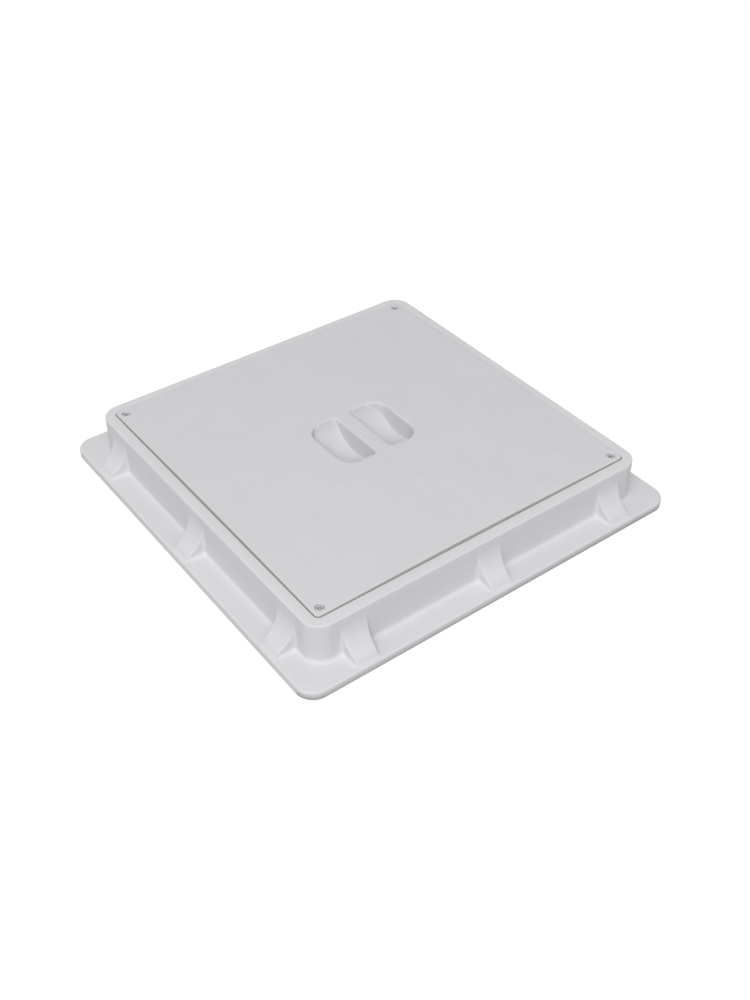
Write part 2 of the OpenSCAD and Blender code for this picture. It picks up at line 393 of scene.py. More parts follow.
def turned_metal_finish(name, color, roughness):
    """Metal with the fine rings that a lathe leaves around the Z axis."""
    material, nodes, links, shader, place = new_finish(name, color, roughness, metallic=1.0)
    blotched = clouded(nodes, links, place, color, BLOTCH_CELL, 3.0, BLOTCH_SHADES)
    feed(links, shader.inputs["Base Color"], blotched)
    stretch = nodes.new("ShaderNodeMapping")
    stretch.inputs["Scale"].default_value = RING_STRETCH
    links.new(place, stretch.inputs["Vector"])
    rings = noise(nodes, links, stretch.outputs["Vector"], RING_CELL)
    emboss(nodes, links, shader, [(rings, RING_DEPTH)])
    return material


rubber = rubber_finish()
steel = turned_metal_finish("stainless_steel", STEEL, STEEL_ROUGH)
brass = turned_metal_finish("turned_brass", BRASS, BRASS_ROUGH)


def dress(node, material):
    """Gives a CAD node its finish. Its mesh stays as it is."""
    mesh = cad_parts[node].data
    mesh.materials.clear()
    mesh.materials.append(material)


CORNER_NUMBERS = range(1, 5)
dress("seal", rubber)
for number in CORNER_NUMBERS:
    dress(f"insert_{number}", brass)

# %% [markdown]
# ## The lid's outlines
#
# Seen from above, the lid, its finger pockets and its screw recesses are all rectangles
# with rounded corners, or circles. One small class describes them. It gives the distance
# of a point from the outline, which later drives every fillet and every fading line, and
# the points along the outline, which are used to cut it into a mesh.

# %% Outlines seen from above
CORNER_STEPS = 12
QUARTER = math.pi / 2
TINY = 0.001 * MM


class Outline:
    """A rectangle with rounded corners. Those towards X = 0 may have their own radius."""

    def __init__(self, x, y, half_x, half_y, radius, inner_radius=None):
        self.x = x
        self.y = y
        self.half_x = half_x
        self.half_y = half_y
        self.radius = radius
        self.inner_radius = radius if inner_radius is None else inner_radius

    def radius_at(self, x):
        inner = (x - self.x) * self.x < 0
        return self.inner_radius if inner else self.radius

    def distance(self, x, y):
        """How far a point lies outside the outline. It is negative inside."""
        radius = self.radius_at(x)
        past_x = abs(x - self.x) - self.half_x + radius
        past_y = abs(y - self.y) - self.half_y + radius
        outside = math.hypot(max(past_x, 0.0), max(past_y, 0.0))
        return outside + min(max(past_x, past_y), 0.0) - radius

    def outward(self, x, y):
        """The direction that leads straight away from the outline."""
        across = self.distance(x + TINY, y) - self.distance(x - TINY, y)
        along = self.distance(x, y + TINY) - self.distance(x, y - TINY)
        return Vector((across, along, 0.0)).normalized()

    def points(self, grown=0.0):
        """Points along the outline, anticlockwise, after growing it by a distance."""
        found = []
        for quarter, (side_x, side_y) in enumerate(((1, 1), (-1, 1), (-1, -1), (1, -1))):
            radius = self.radius_at(self.x + side_x * self.half_x)
            centre_x = self.x + side_x * (self.half_x - radius)
            centre_y = self.y + side_y * (self.half_y - radius)
            for step in range(CORNER_STEPS + 1):
                turn = QUARTER * (quarter + step / CORNER_STEPS)
                x = centre_x + (radius + grown) * math.cos(turn)
                y = centre_y + (radius + grown) * math.sin(turn)
                found.append(Vector((x, y, 0.0)))
        return found


# %% The lid's own outlines
LID_LOW, LID_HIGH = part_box("lid")
SCREW_LOW, SCREW_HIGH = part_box("screw_3")
LID_CORNER = 6 * MM
BAR_WIDTH = 23 * MM
POCKET_WIDTH = 46 * MM
POCKET_LENGTH = 92 * MM
POCKET_CORNER = 22 * MM
BAR_CORNER = 8 * MM
GRIP_BORDER = 5 * MM
RECESS_RADIUS = 5.6 * MM
RECESS_BORDER = 3 * MM
HONEYCOMB_BORDER = 9 * MM

lid_half = LID_HIGH.x
screw_at = (SCREW_LOW.x + SCREW_HIGH.x) / 2
lid_outline = Outline(0, 0, lid_half, lid_half, LID_CORNER)
honeycomb_half = lid_half - HONEYCOMB_BORDER
honeycomb_outline = Outline(0, 0, honeycomb_half, honeycomb_half, 0.0)
pocket_middle = (BAR_WIDTH + POCKET_WIDTH) / 2
pockets = [
    Outline(
        side * pocket_middle, 0, POCKET_WIDTH / 2, POCKET_LENGTH / 2, POCKET_CORNER, BAR_CORNER
    )
    for side in (-1, 1)
]
grip_outline = Outline(
    0, 0,
    BAR_WIDTH / 2 + POCKET_WIDTH + GRIP_BORDER,
    POCKET_LENGTH / 2 + GRIP_BORDER,
    POCKET_CORNER + GRIP_BORDER,
)
recesses = [
    Outline(side_x * screw_at, side_y * screw_at, RECESS_RADIUS, RECESS_RADIUS, RECESS_RADIUS)
    for side_x in (-1, 1)
    for side_y in (-1, 1)
]
print("lid side in mm:", round(2 * lid_half / MM, 1), "screws at", round(screw_at / MM, 1))

# %% [markdown]
# ## The tread as a flat layout
#
# The tread is a honeycomb of thin, soft-edged lines. A cell is one hexagon from
# `create_circle` with six segments. `inset_individual` then draws rings inside every cell
# at chosen distances from the line, which is where the line's rounded section will get
# its heights. The layout stays flat until every outline is cut, because `bisect_plane`
# cuts flat faces cleanly.

# %% Cells with rings along their lines
HEX_PITCH = 57 * MM
HEX_ROW = HEX_PITCH * math.sqrt(3) / 2
MERGE = 10 * TINY
RINGS_AT = [0.5 * MM, 0.9 * MM, 1.3 * MM, 1.7 * MM, 2.1 * MM, 2.7 * MM]


def cell_centre(row, column):
    shift = 0.5 if row % 2 == 0 else 0.0
    return Vector(((column + shift) * HEX_PITCH, row * HEX_ROW, 0.0))


def honeycomb_layout():
    bm = bmesh.new()
    rows = math.ceil(lid_half / HEX_ROW)
    columns = math.ceil(lid_half / HEX_PITCH)
    for row in range(-rows, rows + 1):
        for column in range(-columns - 1, columns + 1):
            place = Matrix.Translation(cell_centre(row, column))
            bmesh.ops.create_circle(
                bm, cap_ends=True, segments=6, radius=HEX_PITCH / math.sqrt(3), matrix=place
            )
    bmesh.ops.remove_doubles(bm, verts=bm.verts, dist=MERGE)
    cells = bm.faces[:]
    drawn = 0.0
    for ring in RINGS_AT:
        bmesh.ops.inset_individual(bm, faces=cells, thickness=ring - drawn, use_even_offset=True)
        drawn = ring
    print("cells:", len(cells), "faces with their rings:", len(bm.faces))
    return bm


lid_top = honeycomb_layout()

# %% Cut straight lines and outlines into flat faces
FADE = 1.5 * MM
ALONG_X = Vector((1, 0, 0))
ALONG_Y = Vector((0, 1, 0))


def everything(bm):
    return bm.verts[:] + bm.edges[:] + bm.faces[:]


def once(parts):
    """Parts without repeats. Their order is kept, so that each run gives the same mesh."""
    return list(dict.fromkeys(parts))


def geometry_of(faces):
    corners = once(corner for face in faces for corner in face.verts)
    edges = once(edge for face in faces for edge in face.edges)
    return [*corners, *edges, *faces]


def of_kind(parts, kind):
    """The vertices, edges or faces among mixed parts of a mesh."""
    return [part for part in parts if isinstance(part, kind)]


def middle_of(face):
    return face.calc_center_median()


def faces_near(bm, outline):
    """The faces that an outline could touch. The rest needn't be cut."""
    return [face for face in bm.faces if outline.distance(*middle_of(face).xy) < HEX_PITCH]


def cut_line(bm, geometry, at, side, clear=False):
    """Cuts along a plane, and clears what lies on its outer side if asked."""
    cut = bmesh.ops.bisect_plane(
        bm, geom=geometry, dist=TINY, plane_co=at, plane_no=side, clear_outer=clear
    )
    return cut["geom"]


def sides_of(points):
    """Each side of an outline as a point on it and its outward direction."""
    for start, end in zip(points, points[1:] + points[:1]):
        along = end - start
        if along.length > TINY:
            yield start, Vector((along.y, -along.x, 0.0)).normalized()


def trim(bm, points):
    """Clears all that lies outside an outline."""
    for at, side in sides_of(points):
        outer = [face for face in bm.faces if (middle_of(face) - at).dot(side) > -HEX_PITCH]
        cut_line(bm, geometry_of(outer), at, side, clear=True)


def cut_outline(bm, faces, points):
    """Cuts an outline into flat faces and returns the faces within it."""
    inside = list(faces)
    for at, side in sides_of(points):
        parts = of_kind(cut_line(bm, geometry_of(inside), at, side), BMFace)
        inside = [face for face in parts if (middle_of(face) - at).dot(side) < 0]
    return inside


def cut_rows(bm, faces, places, axis):
    """Cuts faces across an axis at each of some places along it."""
    for at in places:
        faces = of_kind(cut_line(bm, geometry_of(faces), at, axis), BMFace)
    return faces


def clear_area(bm, outline, grown, cell):
    """Turns all within an outline into plain faces, one cell wide."""
    inside = cut_outline(bm, faces_near(bm, outline), outline.points(grown))
    plain = bmesh.ops.dissolve_faces(bm, faces=inside)["region"]
    middle = Vector((outline.x, outline.y, 0))
    steps = math.ceil(max(outline.half_x, outline.half_y) / cell)
    for axis in (ALONG_X, ALONG_Y):
        places = [middle + axis * step * cell for step in range(-steps, steps + 1)]
        plain = cut_rows(bm, plain, places, axis)
    return plain


# %% Cut the lid's edge, the fading borders, the pockets and the recesses
EDGE_ROUND = 1.8 * MM
RIM_ROUND = 3.5 * MM
RECESS_ROUND = 0.8 * MM
PLAIN_CELL = 9 * MM
SCOOP_STEP = 3 * MM
ON_OUTLINE = 0.1 * MM

scoop_steps = math.floor(POCKET_LENGTH / 2 / SCOOP_STEP)
scoop_places = [
    Vector((0, step * SCOOP_STEP, 0)) for step in range(-scoop_steps, scoop_steps + 1)
]


def cut_border(bm, distance):
    """Cuts four lines along the lid's sides, at a distance from its middle."""
    for axis in (ALONG_X, ALONG_Y):
        for side in (-1, 1):
            cut_line(bm, everything(bm), axis * side * distance, axis)


def cut_hole(bm, faces, outline, grown):
    """Opens a hole in flat faces."""
    hole = cut_outline(bm, faces, outline.points(grown))
    bmesh.ops.delete(bm, geom=hole, context="FACES")


def rim_of(bm, outline, grown):
    """The edges of an opening that follow an outline."""
    def on_it(corner):
        return abs(outline.distance(*corner.co.xy) - grown) < ON_OUTLINE
    boundary = [edge for edge in bm.edges if edge.is_boundary]
    return [edge for edge in boundary if all(map(on_it, edge.verts))]


def split_rim(bm, rim):
    """Splits a pocket's long sides where its scooped floor needs a point."""
    for at in scoop_places:
        corners = once(corner for edge in rim for corner in edge.verts)
        rim = of_kind(cut_line(bm, [*corners, *rim], at, ALONG_Y), BMEdge)


trim(lid_top, lid_outline.points(-EDGE_ROUND))
cut_border(lid_top, honeycomb_half)
cut_border(lid_top, honeycomb_half - FADE)
cut_outline(lid_top, faces_near(lid_top, grip_outline), grip_outline.points(FADE))
grip_faces = clear_area(lid_top, grip_outline, 0.0, PLAIN_CELL)
for pocket in pockets:
    cut_hole(lid_top, [f for f in grip_faces if f.is_valid], pocket, RIM_ROUND)
    split_rim(lid_top, rim_of(lid_top, pocket, RIM_ROUND))
    grip_faces = faces_near(lid_top, grip_outline)
for recess in recesses:
    cut_outline(lid_top, faces_near(lid_top, recess), recess.points(RECESS_BORDER + FADE))
    around = clear_area(lid_top, recess, RECESS_BORDER, PLAIN_CELL)
    cut_hole(lid_top, around, recess, RECESS_ROUND)
print("faces in the flat layout:", len(lid_top.faces))

# %% [markdown]
# ## Lift the layout to its crown
#
# A lid sheds water because its middle stands 5 mm above its corners, as part of a large
# sphere. On that lies the tread. The height of a line falls off smoothly with the distance
# from its centre, and fades out near the lid's edge, the grip and the screws.

# %% Lift every point
CROWN_RISE = 5 * MM
CROWN_MIDDLE = 75 * MM
TREAD_RISE = 0.25 * MM
LINE_REACH = 2.1 * MM

crown_radius = (2 * lid_half ** 2 + CROWN_RISE ** 2) / (2 * CROWN_RISE)


def crown(x, y):
    return CROWN_MIDDLE - crown_radius + math.sqrt(crown_radius ** 2 - x * x - y * y)


def eased(share):
    share = min(max(share, 0.0), 1.0)
    return share * share * (3 - 2 * share)


def from_line(x, y):
    """Distance from the middle of the nearest line of the honeycomb."""
    nearest = None
    for row in range(math.floor(y / HEX_ROW), math.floor(y / HEX_ROW) + 2):
        shift = 0.5 if row % 2 == 0 else 0.0
        centre = cell_centre(row, round(x / HEX_PITCH - shift))
        away = math.hypot(x - centre.x, y - centre.y)
        if nearest is None or away < nearest[0]:
            nearest = (away, x - centre.x, y - centre.y)
    towards = [
        abs(nearest[1] * math.cos(turn) + nearest[2] * math.sin(turn))
        for turn in (0, math.pi / 3, 2 * math.pi / 3)
    ]
    return HEX_PITCH / 2 - max(towards)


def tread(x, y):
    """Height of the tread above the crown."""
    line = eased(1 - from_line(x, y) / LINE_REACH)
    room = min(
        -honeycomb_outline.distance(x, y),
        grip_outline.distance(x, y),
        *(recess.distance(x, y) - RECESS_BORDER for recess in recesses),
    )
    return TREAD_RISE * line * eased(room / FADE)


for corner in lid_top.verts:
    x, y = corner.co.x, corner.co.y
    corner.co.z = crown(x, y) + tread(x, y)
print("lid top in mm:", round(max(v.co.z for v in lid_top.verts) / MM, 2))

# %% [markdown]
# ## Fillets, walls and pockets
#
# Each opening of the layout is a loop of boundary edges. A fillet is that loop, extruded a
# few times in small steps: across along the outline's own outward direction, and down by
# what is left of a quarter circle. The same move makes the lid's side, the rounded rims of
# the pockets, the mouths of the recesses and the fillet around a pocket's floor.

# %% Roll an edge over
ROUND_STEPS = 5


def extrude_loop(bm, rim):
    """Extrudes a closed loop in place, and returns its new corners and edges."""
    made = bmesh.ops.extrude_edge_only(bm, edges=rim)["geom"]
    edges = [edge for edge in of_kind(made, BMEdge) if edge.is_boundary]
    return of_kind(made, BMVert), edges


def roll_over(bm, rim, outline, radius, direction):
    """Rounds a rim over, outwards for 1 and into an opening for -1."""
    before = 0.0
    for step in range(1, ROUND_STEPS + 1):
        now = QUARTER * step / ROUND_STEPS
        across = direction * radius * (math.sin(now) - math.sin(before))
        drop = radius * (math.cos(before) - math.cos(now))
        corners, rim = extrude_loop(bm, rim)
        for corner in corners:
            corner.co += outline.outward(*corner.co.xy) * across
            corner.co.z -= drop
        before = now
    return rim


def drop_to(bm, rim, level):
    """Extrudes a loop straight down to a level."""
    corners, rim = extrude_loop(bm, rim)
    for corner in corners:
        corner.co.z = level
    return rim


# %% The finger pockets
SCOOP_RADIUS = 50 * MM
POCKET_DEPTH = 32 * MM
FLOOR_ROUND = 4 * MM

scoop_axis = CROWN_MIDDLE - POCKET_DEPTH + SCOOP_RADIUS


def scoop(y):
    """Height of a pocket's half-moon floor."""
    return scoop_axis - math.sqrt(SCOOP_RADIUS ** 2 - min(abs(y), SCOOP_RADIUS) ** 2)


def pocket_bowl(bm, pocket):
    """Rounds a pocket's rim, drops its walls and closes it with a filleted floor."""
    rim = roll_over(bm, rim_of(bm, pocket, RIM_ROUND), pocket, RIM_ROUND, -1)
    for corner in once(corner for edge in rim for corner in edge.verts):
        corner.co.z = max(corner.co.z, scoop(corner.co.y))
    before = 0.0
    for step in range(ROUND_STEPS + 1):
        now = QUARTER * step / ROUND_STEPS
        across = FLOOR_ROUND * (math.cos(before) - math.cos(now))
        lift = FLOOR_ROUND * (1 - math.sin(now))
        corners, rim = extrude_loop(bm, rim)
        for corner in corners:
            corner.co -= pocket.outward(*corner.co.xy) * across
            floor = scoop(corner.co.y)
            corner.co.z = max(floor, min(corner.co.z, floor + lift))
        before = now
    floor = bmesh.ops.contextual_create(bm, geom=rim)["faces"]
    floor = cut_rows(bm, floor, scoop_places, ALONG_Y)
    for corner in once(corner for face in floor for corner in face.verts):
        corner.co.z = max(corner.co.z, scoop(corner.co.y))


for pocket in pockets:
    pocket_bowl(lid_top, pocket)
print("faces with the pockets:", len(lid_top.faces))

# %% The recesses and the lid's side
RECESS_DEPTH = 8 * MM

recess_seat = crown(screw_at, screw_at) - RECESS_DEPTH
for recess in recesses:
    mouth = roll_over(lid_top, rim_of(lid_top, recess, RECESS_ROUND), recess, RECESS_ROUND, -1)
    drop_to(lid_top, mouth, recess_seat)
lid_edge = rim_of(lid_top, lid_outline, -EDGE_ROUND)
lid_edge = roll_over(lid_top, lid_edge, lid_outline, EDGE_ROUND, 1)
drop_to(lid_top, lid_edge, LID_LOW.z)
print("faces with the sides:", len(lid_top.faces))

# %% [markdown]
# ## The lid's underside
#
# The ribs, the wall that presses on the seal and the screw bosses are right as they are in
# the CAD model. A copy of its mesh is merged, because it comes as loose triangles, and
# loses the faces that the new top replaces. What is left shares two kinds of flat face
# with the new top: the lid's lower edge and the seats of the screw heads. Those are filled
# again between the old loops and the new ones, which joins both into one closed skin.

# %% Keep the CAD lid's underside
NEAR = 0.06 * MM
CAD_MERGE = 2 * TINY
SEAT_ZONE = 3 * MM


def rest_of_cad(node, is_replaced):
    """A merged copy of a CAD node's mesh, less the faces that a new skin replaces."""
    bm = bmesh.new()
    bm.from_mesh(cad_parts[node].data)
    bmesh.ops.remove_doubles(bm, verts=bm.verts, dist=CAD_MERGE)
    replaced = [face for face in bm.faces if is_replaced([corner.co for corner in face.verts])]
    bmesh.ops.delete(bm, geom=replaced, context="FACES")
    print("faces kept from the CAD", node + ":", len(bm.faces))
    return to_mesh(bm, f"{node}_rest")


def on_lid_top(places):
    """Whether the new top stands for a face of the CAD lid with these corners."""
    def all_of(test):
        return all(test(place) for place in places)

    if all_of(lambda p: p.z > recess_seat + SEAT_ZONE):
        return True
    if all_of(lambda p: abs(p.z - LID_LOW.z) < NEAR):
        return True
    if all_of(lambda p: abs(lid_outline.distance(*p.xy)) < NEAR):
        return True
    for recess in recesses:
        if all_of(lambda p: recess.distance(*p.xy) < NEAR and p.z > recess_seat - NEAR):
            return True
    near_x = BAR_WIDTH / 2 - NEAR
    far_x = BAR_WIDTH / 2 + POCKET_WIDTH + NEAR
    for side in (-1, 1):
        if all_of(lambda p: near_x < side * p.x < far_x and p.z > scoop(p.y) - NEAR):
            return True
    return False


# %% Join top and underside
SHARP_ANGLE = math.radians(32)
ON_LEVEL = 0.02 * MM


def anywhere(place):
    return True


def fill_flat(bm, level, within=anywhere):
    """Fills the flat ring between the open loops at a level."""
    def on_it(corner):
        return abs(corner.co.z - level) < ON_LEVEL and within(corner.co)
    boundary = [edge for edge in bm.edges if edge.is_boundary]
    loops = [edge for edge in boundary if all(map(on_it, edge.verts))]
    bmesh.ops.triangle_fill(bm, edges=loops, use_beauty=True, normal=(0, 0, -1))


def as_piece(bm, name, material):
    """Turns a bmesh into an object with smooth faces and crisp edges.

    Cuts that meet leave points on the same spot, which are merged first.
    """
    bmesh.ops.remove_doubles(bm, verts=bm.verts, dist=TINY)
    bmesh.ops.recalc_face_normals(bm, faces=bm.faces)
    open_edges = sum(not edge.is_manifold for edge in bm.edges)
    mesh = to_mesh(bm, name)
    mesh.shade_smooth()
    mesh.set_sharp_from_angle(angle=SHARP_ANGLE)
    mesh.materials.append(material)
    piece = bpy.data.objects.new(name, mesh)
    bpy.context.scene.collection.objects.link(piece)
    triangles = sum(len(face.vertices) - 2 for face in mesh.polygons)
    print(name, "triangles:", triangles, "open edges:", open_edges)
    return piece


lid_top.from_mesh(rest_of_cad("lid", on_lid_top))
fill_flat(lid_top, LID_LOW.z)
for recess in recesses:
    fill_flat(lid_top, recess_seat, lambda place: recess.distance(*place.xy) < ON_OUTLINE)
lid = as_piece(lid_top, "lid_moulding", lid_composite)
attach(lid, "root")
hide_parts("lid")

# %% [markdown]
# ## The frame's outer skin
#
# The frame is one moulding too. What shows of it is the rim, the hollow gussets and the
# flange. A gusset could be a block pushed into the wall, but a moulding has no such
# joints: its flanks run into the wall and the flange in generous fillets, and its edges
# are eased. So the wall, the gussets and the flange's top are one skin here. It starts as
# a plain `create_grid` strip for one side. Its rows follow the section of the frame, from
# the rim down the wall and out along the flange, and its columns run along the side.

# %% The frame's own outlines
FRAME_LOW, FRAME_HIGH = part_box("frame")
FLANGE_REACH = 31 * MM
FLANGE_CORNER = 24 * MM
FLANGE_TOP = 11 * MM
FLANGE_ROUND = 2.5 * MM
RIM_CORNER = 25 * MM
RIM_WIDTH = 15 * MM
RIM_EDGE_ROUND = 2 * MM
SEAT_CORNER = 6.8 * MM
SEAT_ROUND = 0.3 * MM
LEDGE_DROP = 34 * MM

flange_half = FRAME_HIGH.x
rim_half = flange_half - FLANGE_REACH
rim_top = FRAME_HIGH.z
ledge_top = rim_top - LEDGE_DROP
seat_half = rim_half - RIM_WIDTH
flange_outline = Outline(0, 0, flange_half, flange_half, FLANGE_CORNER)
rim_outline = Outline(0, 0, rim_half, rim_half, RIM_CORNER)
seat_outline = Outline(0, 0, seat_half, seat_half, SEAT_CORNER)
print("rim side in mm:", round(2 * rim_half / MM), "rim top:", round(rim_top / MM))

# %% [markdown]
# The section has two forms. Between the gussets it drops down the wall, turns through a
# fillet and runs out along the flange. On a gusset it leaves the wall in a hollow curve and
# comes down to the flange in a rounded toe. Both are lists of points, and each row of the
# skin has one place on either, at the same share of their lengths.

# %% The two sections, as distance out from the rim and height
FOOT_ROUND = 5 * MM
GUSSET_DROP = 11.5 * MM
HOLLOW_RADIUS = 44 * MM
TOE_START = 20 * MM
TOE_PULL = 5.5 * MM
TOE_RUN_OUT = 2.6 * MM
SKIN_REACH = 27.8 * MM
RIM_STEPS = 6
WALL_STEPS = 9
FOOT_STEPS = 6
FLANGE_STEPS = 8
HOLLOW_STEPS = 24
TOE_POINTS = 16
SLACK = 1e-9

gusset_top = rim_top - GUSSET_DROP


def bare_section():
    """Down the wall, through the fillet at its foot and out along the flange."""
    wall_end = FLANGE_TOP + FOOT_ROUND
    points = [
        Vector((0, gusset_top + (wall_end - gusset_top) * step / WALL_STEPS))
        for step in range(WALL_STEPS + 1)
    ]
    for step in range(1, FOOT_STEPS + 1):
        turn = QUARTER * step / FOOT_STEPS
        out = FOOT_ROUND * (1 - math.cos(turn))
        points.append(Vector((out, wall_end - FOOT_ROUND * math.sin(turn))))
    for step in range(1, FLANGE_STEPS + 1):
        out = FOOT_ROUND + (SKIN_REACH - FOOT_ROUND) * step / FLANGE_STEPS
        points.append(Vector((out, FLANGE_TOP)))
    return points


def gusset_section():
    """Down the gusset's hollow curve and out through its rounded toe."""
    last = math.acos(1 - TOE_START / HOLLOW_RADIUS)
    points = []
    for step in range(HOLLOW_STEPS + 1):
        turn = last * step / HOLLOW_STEPS
        out = HOLLOW_RADIUS * (1 - math.cos(turn))
        points.append(Vector((out, gusset_top - HOLLOW_RADIUS * math.sin(turn))))
    toe_start = points[-1]
    pulled = toe_start + Vector((math.sin(last), -math.cos(last))) * TOE_PULL
    toe_end = Vector((SKIN_REACH, FLANGE_TOP))
    run_out = toe_end - Vector((TOE_RUN_OUT, 0))
    toe = interpolate_bezier(toe_start, pulled, run_out, toe_end, TOE_POINTS)
    return points + toe[1:]


def lengths_along(points):
    """Each point's share of a section's length, from 0 to 1."""
    total = 0.0
    lengths = [0.0]
    for start, end in zip(points, points[1:]):
        total += (end - start).length
        lengths.append(total)
    return [length / total for length in lengths]


def point_at(points, shares, share):
    """The place at a share of a section's length."""
    for start, end, low, high in zip(points, points[1:], shares, shares[1:]):
        if share <= high + SLACK:
            return start.lerp(end, (share - low) / (high - low))
    return points[-1]


bare = bare_section()
hollow = gusset_section()
hollow_shares = lengths_along(hollow)
raised = [point_at(hollow, hollow_shares, share) for share in lengths_along(bare)]
rim_rows = []
for step in range(RIM_STEPS + 1):
    turn = QUARTER * step / RIM_STEPS
    out = -RIM_EDGE_ROUND * (1 - math.sin(turn))
    rim_rows.append(Vector((out, rim_top - RIM_EDGE_ROUND * (1 - math.cos(turn)))))
sections = list(zip(rim_rows + bare, rim_rows + raised))
print("rows of the skin:", len(sections))

# %% [markdown]
# Across a flank the skin climbs from the first form to the second: through a wide fillet at
# the foot, straight up the flank, and over a small rounding on to the sloping face. Where
# the gusset is shallow, at its top and its toe, both roundings shrink with it.

# %% Columns along one side
GUSSET_AT = (-196 * MM, 0.0, 196 * MM)
GUSSET_HALF = 14.75 * MM
GUSSET_FLARE = 2.5 * MM
FLANK_FILLET = 6.5 * MM
FLANK_ROUND = 2.2 * MM
LEAST_SHARE = 0.12
TURN_STEPS = 7
FILLET_STEPS = 7
ROUNDING_STEPS = 5


def turns(steps):
    return [QUARTER * step / steps for step in range(steps + 1)]


def side_columns():
    """Each column's kind and place. A flank's give its steps across and up."""
    fillet = [(1 - math.sin(turn), 1 - math.cos(turn)) for turn in turns(FILLET_STEPS)]
    rounding = [(math.cos(turn) - 1, math.sin(turn)) for turn in turns(ROUNDING_STEPS)]
    shares = [step / TURN_STEPS for step in range(TURN_STEPS + 1)]
    columns = [("corner", -1, QUARTER / 2 * (1 - share)) for share in shares]
    halfway = (GUSSET_AT[1] - GUSSET_AT[0]) / 2
    for centre in GUSSET_AT:
        if centre > GUSSET_AT[0]:
            columns.append(("plain", centre - halfway))
        columns += [("fillet", centre, -1, *step) for step in fillet]
        columns += [("rounding", centre, -1, *step) for step in rounding]
        columns += [("face", centre, share) for share in (-0.5, 0.0, 0.5)]
        columns += [("rounding", centre, 1, *step) for step in reversed(rounding)]
        columns += [("fillet", centre, 1, *step) for step in reversed(fillet)]
    columns += [("corner", 1, QUARTER / 2 * share) for share in shares]
    return columns


def skin_point(column, low, high):
    """Where a column meets a row, whose two forms are low and high."""
    kind = column[0]
    if kind == "corner":
        side, turn = column[1:]
        middle = rim_half - RIM_CORNER
        x = middle + (RIM_CORNER + low.x) * math.cos(turn)
        y = middle + (RIM_CORNER + low.x) * math.sin(turn)
        return Vector((x, side * y, low.y))
    if kind == "plain":
        return Vector((rim_half + low.x, column[1], low.y))
    depth = (high - low).length
    share = max(min(depth / (FLANK_FILLET + FLANK_ROUND), 1.0), LEAST_SHARE)
    edge = GUSSET_HALF + GUSSET_FLARE * (1 - high.x / SKIN_REACH)
    if kind == "face":
        centre, across = column[1:]
        return Vector((rim_half + high.x, centre + across * edge, high.y))
    centre, side, across, up = column[1:]
    if kind == "fillet":
        across *= FLANK_FILLET * share
        climbed = up * FLANK_FILLET * share
    else:
        across *= FLANK_ROUND * share
        climbed = depth - FLANK_ROUND * share * (1 - up)
    place = low.lerp(high, min(max(climbed / depth, 0.0), 1.0)) if depth > TINY else low
    return Vector((rim_half + place.x, centre + side * (edge + across), place.y))


# %% Bend a grid into the skin and turn it round the frame
def frame_skin():
    columns = side_columns()
    bm = bmesh.new()
    bmesh.ops.create_grid(bm, x_segments=len(columns) - 1, y_segments=len(sections) - 1, size=1)
    for corner in bm.verts:
        column = round((corner.co.x + 1) / 2 * (len(columns) - 1))
        row = round((corner.co.y + 1) / 2 * (len(sections) - 1))
        corner.co = skin_point(columns[column], *sections[row])
    side = everything(bm)
    for quarter in (1, 2, 3):
        copy = bmesh.ops.duplicate(bm, geom=side)["geom"]
        turn = Matrix.Rotation(quarter * QUARTER, 3, "Z")
        bmesh.ops.rotate(bm, cent=(0, 0, 0), matrix=turn, verts=of_kind(copy, BMVert))
    bmesh.ops.remove_doubles(bm, verts=bm.verts, dist=MERGE)
    print("columns of a side:", len(columns), "faces of the skin:", len(bm.faces))
    return bm


frame_top = frame_skin()


# %% The flange's edge and the seat's wall
def start_loop(bm, points, height):
    """A closed loop of edges, which the next steps extrude."""
    loop = bmesh.ops.create_circle(bm, segments=len(points), radius=1)["verts"]
    for corner, point in zip(loop, points):
        corner.co = Vector((point.x, point.y, height))
    return once(edge for corner in loop for edge in corner.link_edges)


def spread_points(outline, grown):
    """The outline's points without doubles."""
    points = outline.points(grown)
    return [a for a, b in zip(points, points[1:] + points[:1]) if (a - b).length > TINY]


flange_edge = start_loop(frame_top, spread_points(flange_outline, -FLANGE_ROUND), FLANGE_TOP)
flange_edge = roll_over(frame_top, flange_edge, flange_outline, FLANGE_ROUND, 1)
drop_to(frame_top, flange_edge, FRAME_LOW.z)
seat_edge = start_loop(frame_top, spread_points(seat_outline, SEAT_ROUND), rim_top)
seat_edge = roll_over(frame_top, seat_edge, seat_outline, SEAT_ROUND, -1)
drop_to(frame_top, seat_edge, ledge_top)
print("faces with the flange's edge and the seat:", len(frame_top.faces))

# %% [markdown]
# The rest of the frame can't be seen from above: the ledge with its groove, the skirt and
# the webs. Again a merged copy of the CAD mesh gives it, less the faces that the new skin
# stands for. Flat rings at four heights then join the old loops and the new ones.


# %% Join the skin and the rest of the CAD frame
def on_frame_skin(places):
    """Whether the new skin stands for a face of the CAD frame with these corners."""
    for level in (ledge_top, FRAME_LOW.z):
        if all(abs(p.z - level) < NEAR for p in places):
            return True
    if all(seat_outline.distance(*p.xy) > -NEAR and p.z > ledge_top - NEAR for p in places):
        return True
    return all(rim_outline.distance(*p.xy) > -NEAR for p in places)


frame_top.from_mesh(rest_of_cad("frame", on_frame_skin))
for level in (rim_top, FLANGE_TOP, ledge_top, FRAME_LOW.z):
    fill_flat(frame_top, level)
frame_body = as_piece(frame_top, "frame_moulding", frame_composite)
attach(frame_body, "root")
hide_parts("frame")

